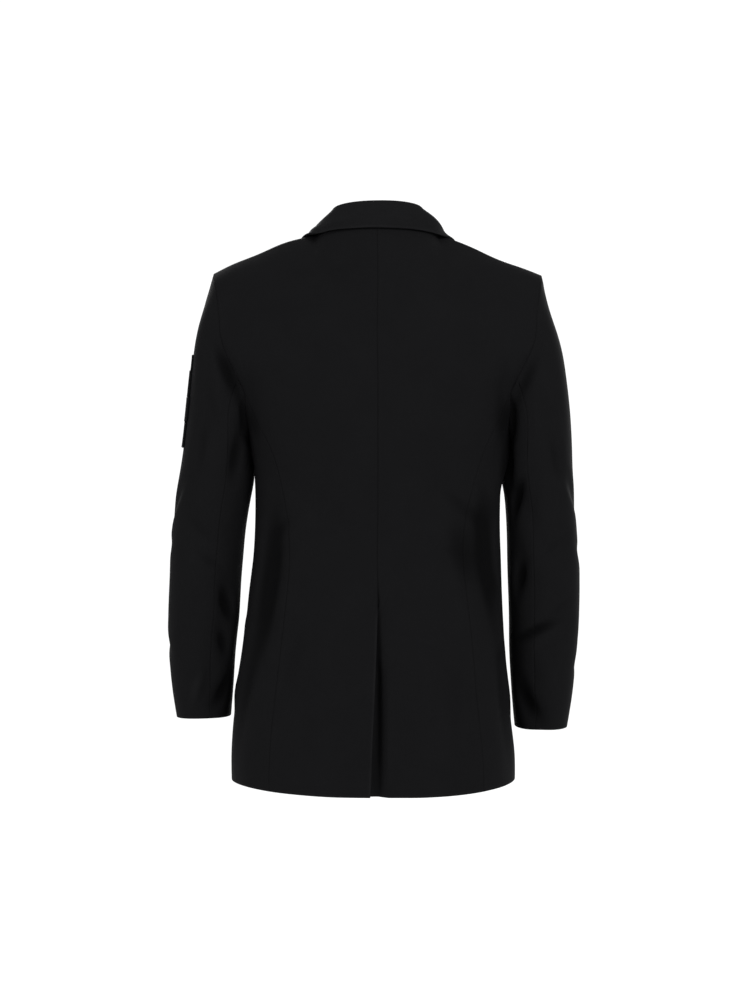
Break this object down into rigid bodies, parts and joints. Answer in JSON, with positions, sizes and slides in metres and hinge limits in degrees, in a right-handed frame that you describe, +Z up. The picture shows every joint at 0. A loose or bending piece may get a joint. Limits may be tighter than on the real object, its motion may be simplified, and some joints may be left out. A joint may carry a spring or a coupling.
{
  "type": "blazer",
  "caption": "Single-breasted blazer with notch lapels, buttoned front, hip pocket flaps, a centre back vent and plain sleeve patches, hollow and in its worn shape.",
  "frame": {"origin": "the nape: the seam of the collar at the centre back, on the garment's own centre line, where the wearer's neck and shoulders hold it up", "axes": "+Z up from hem to collar, +X towards the wearer's left, the front faces -Y"},
  "size_m": [0.5454, 0.2631, 0.7607],
  "materials": {
    "cloth": "black fine-wool suiting, close weave, matt with a faint sheen",
    "collar_cloth": "the same black suiting over stiff canvas, pressed edges",
    "patch_cloth": "plain black cloth patch with turned edges",
    "button_plastic": "black, satin"
  },
  "bodies": {
    "root": {"back_left": "cloth", "back_right": "cloth", "side_left": "cloth", "side_right": "cloth", "front_left": "cloth", "front_right": "cloth", "upper_sleeve_left": "cloth", "upper_sleeve_right": "cloth", "under_sleeve_left": "cloth", "under_sleeve_right": "cloth", "collar": "collar_cloth", "lapel_left": "collar_cloth", "lapel_right": "collar_cloth", "pocket_flap_left": "cloth", "pocket_flap_right": "cloth", "arm_patch_1": "patch_cloth", "arm_patch_2": "patch_cloth", "arm_patch_3": "patch_cloth", "arm_patch_4": "patch_cloth", "button_top": "button_plastic", "button_low": "button_plastic"}
  },
  "joints": []
}
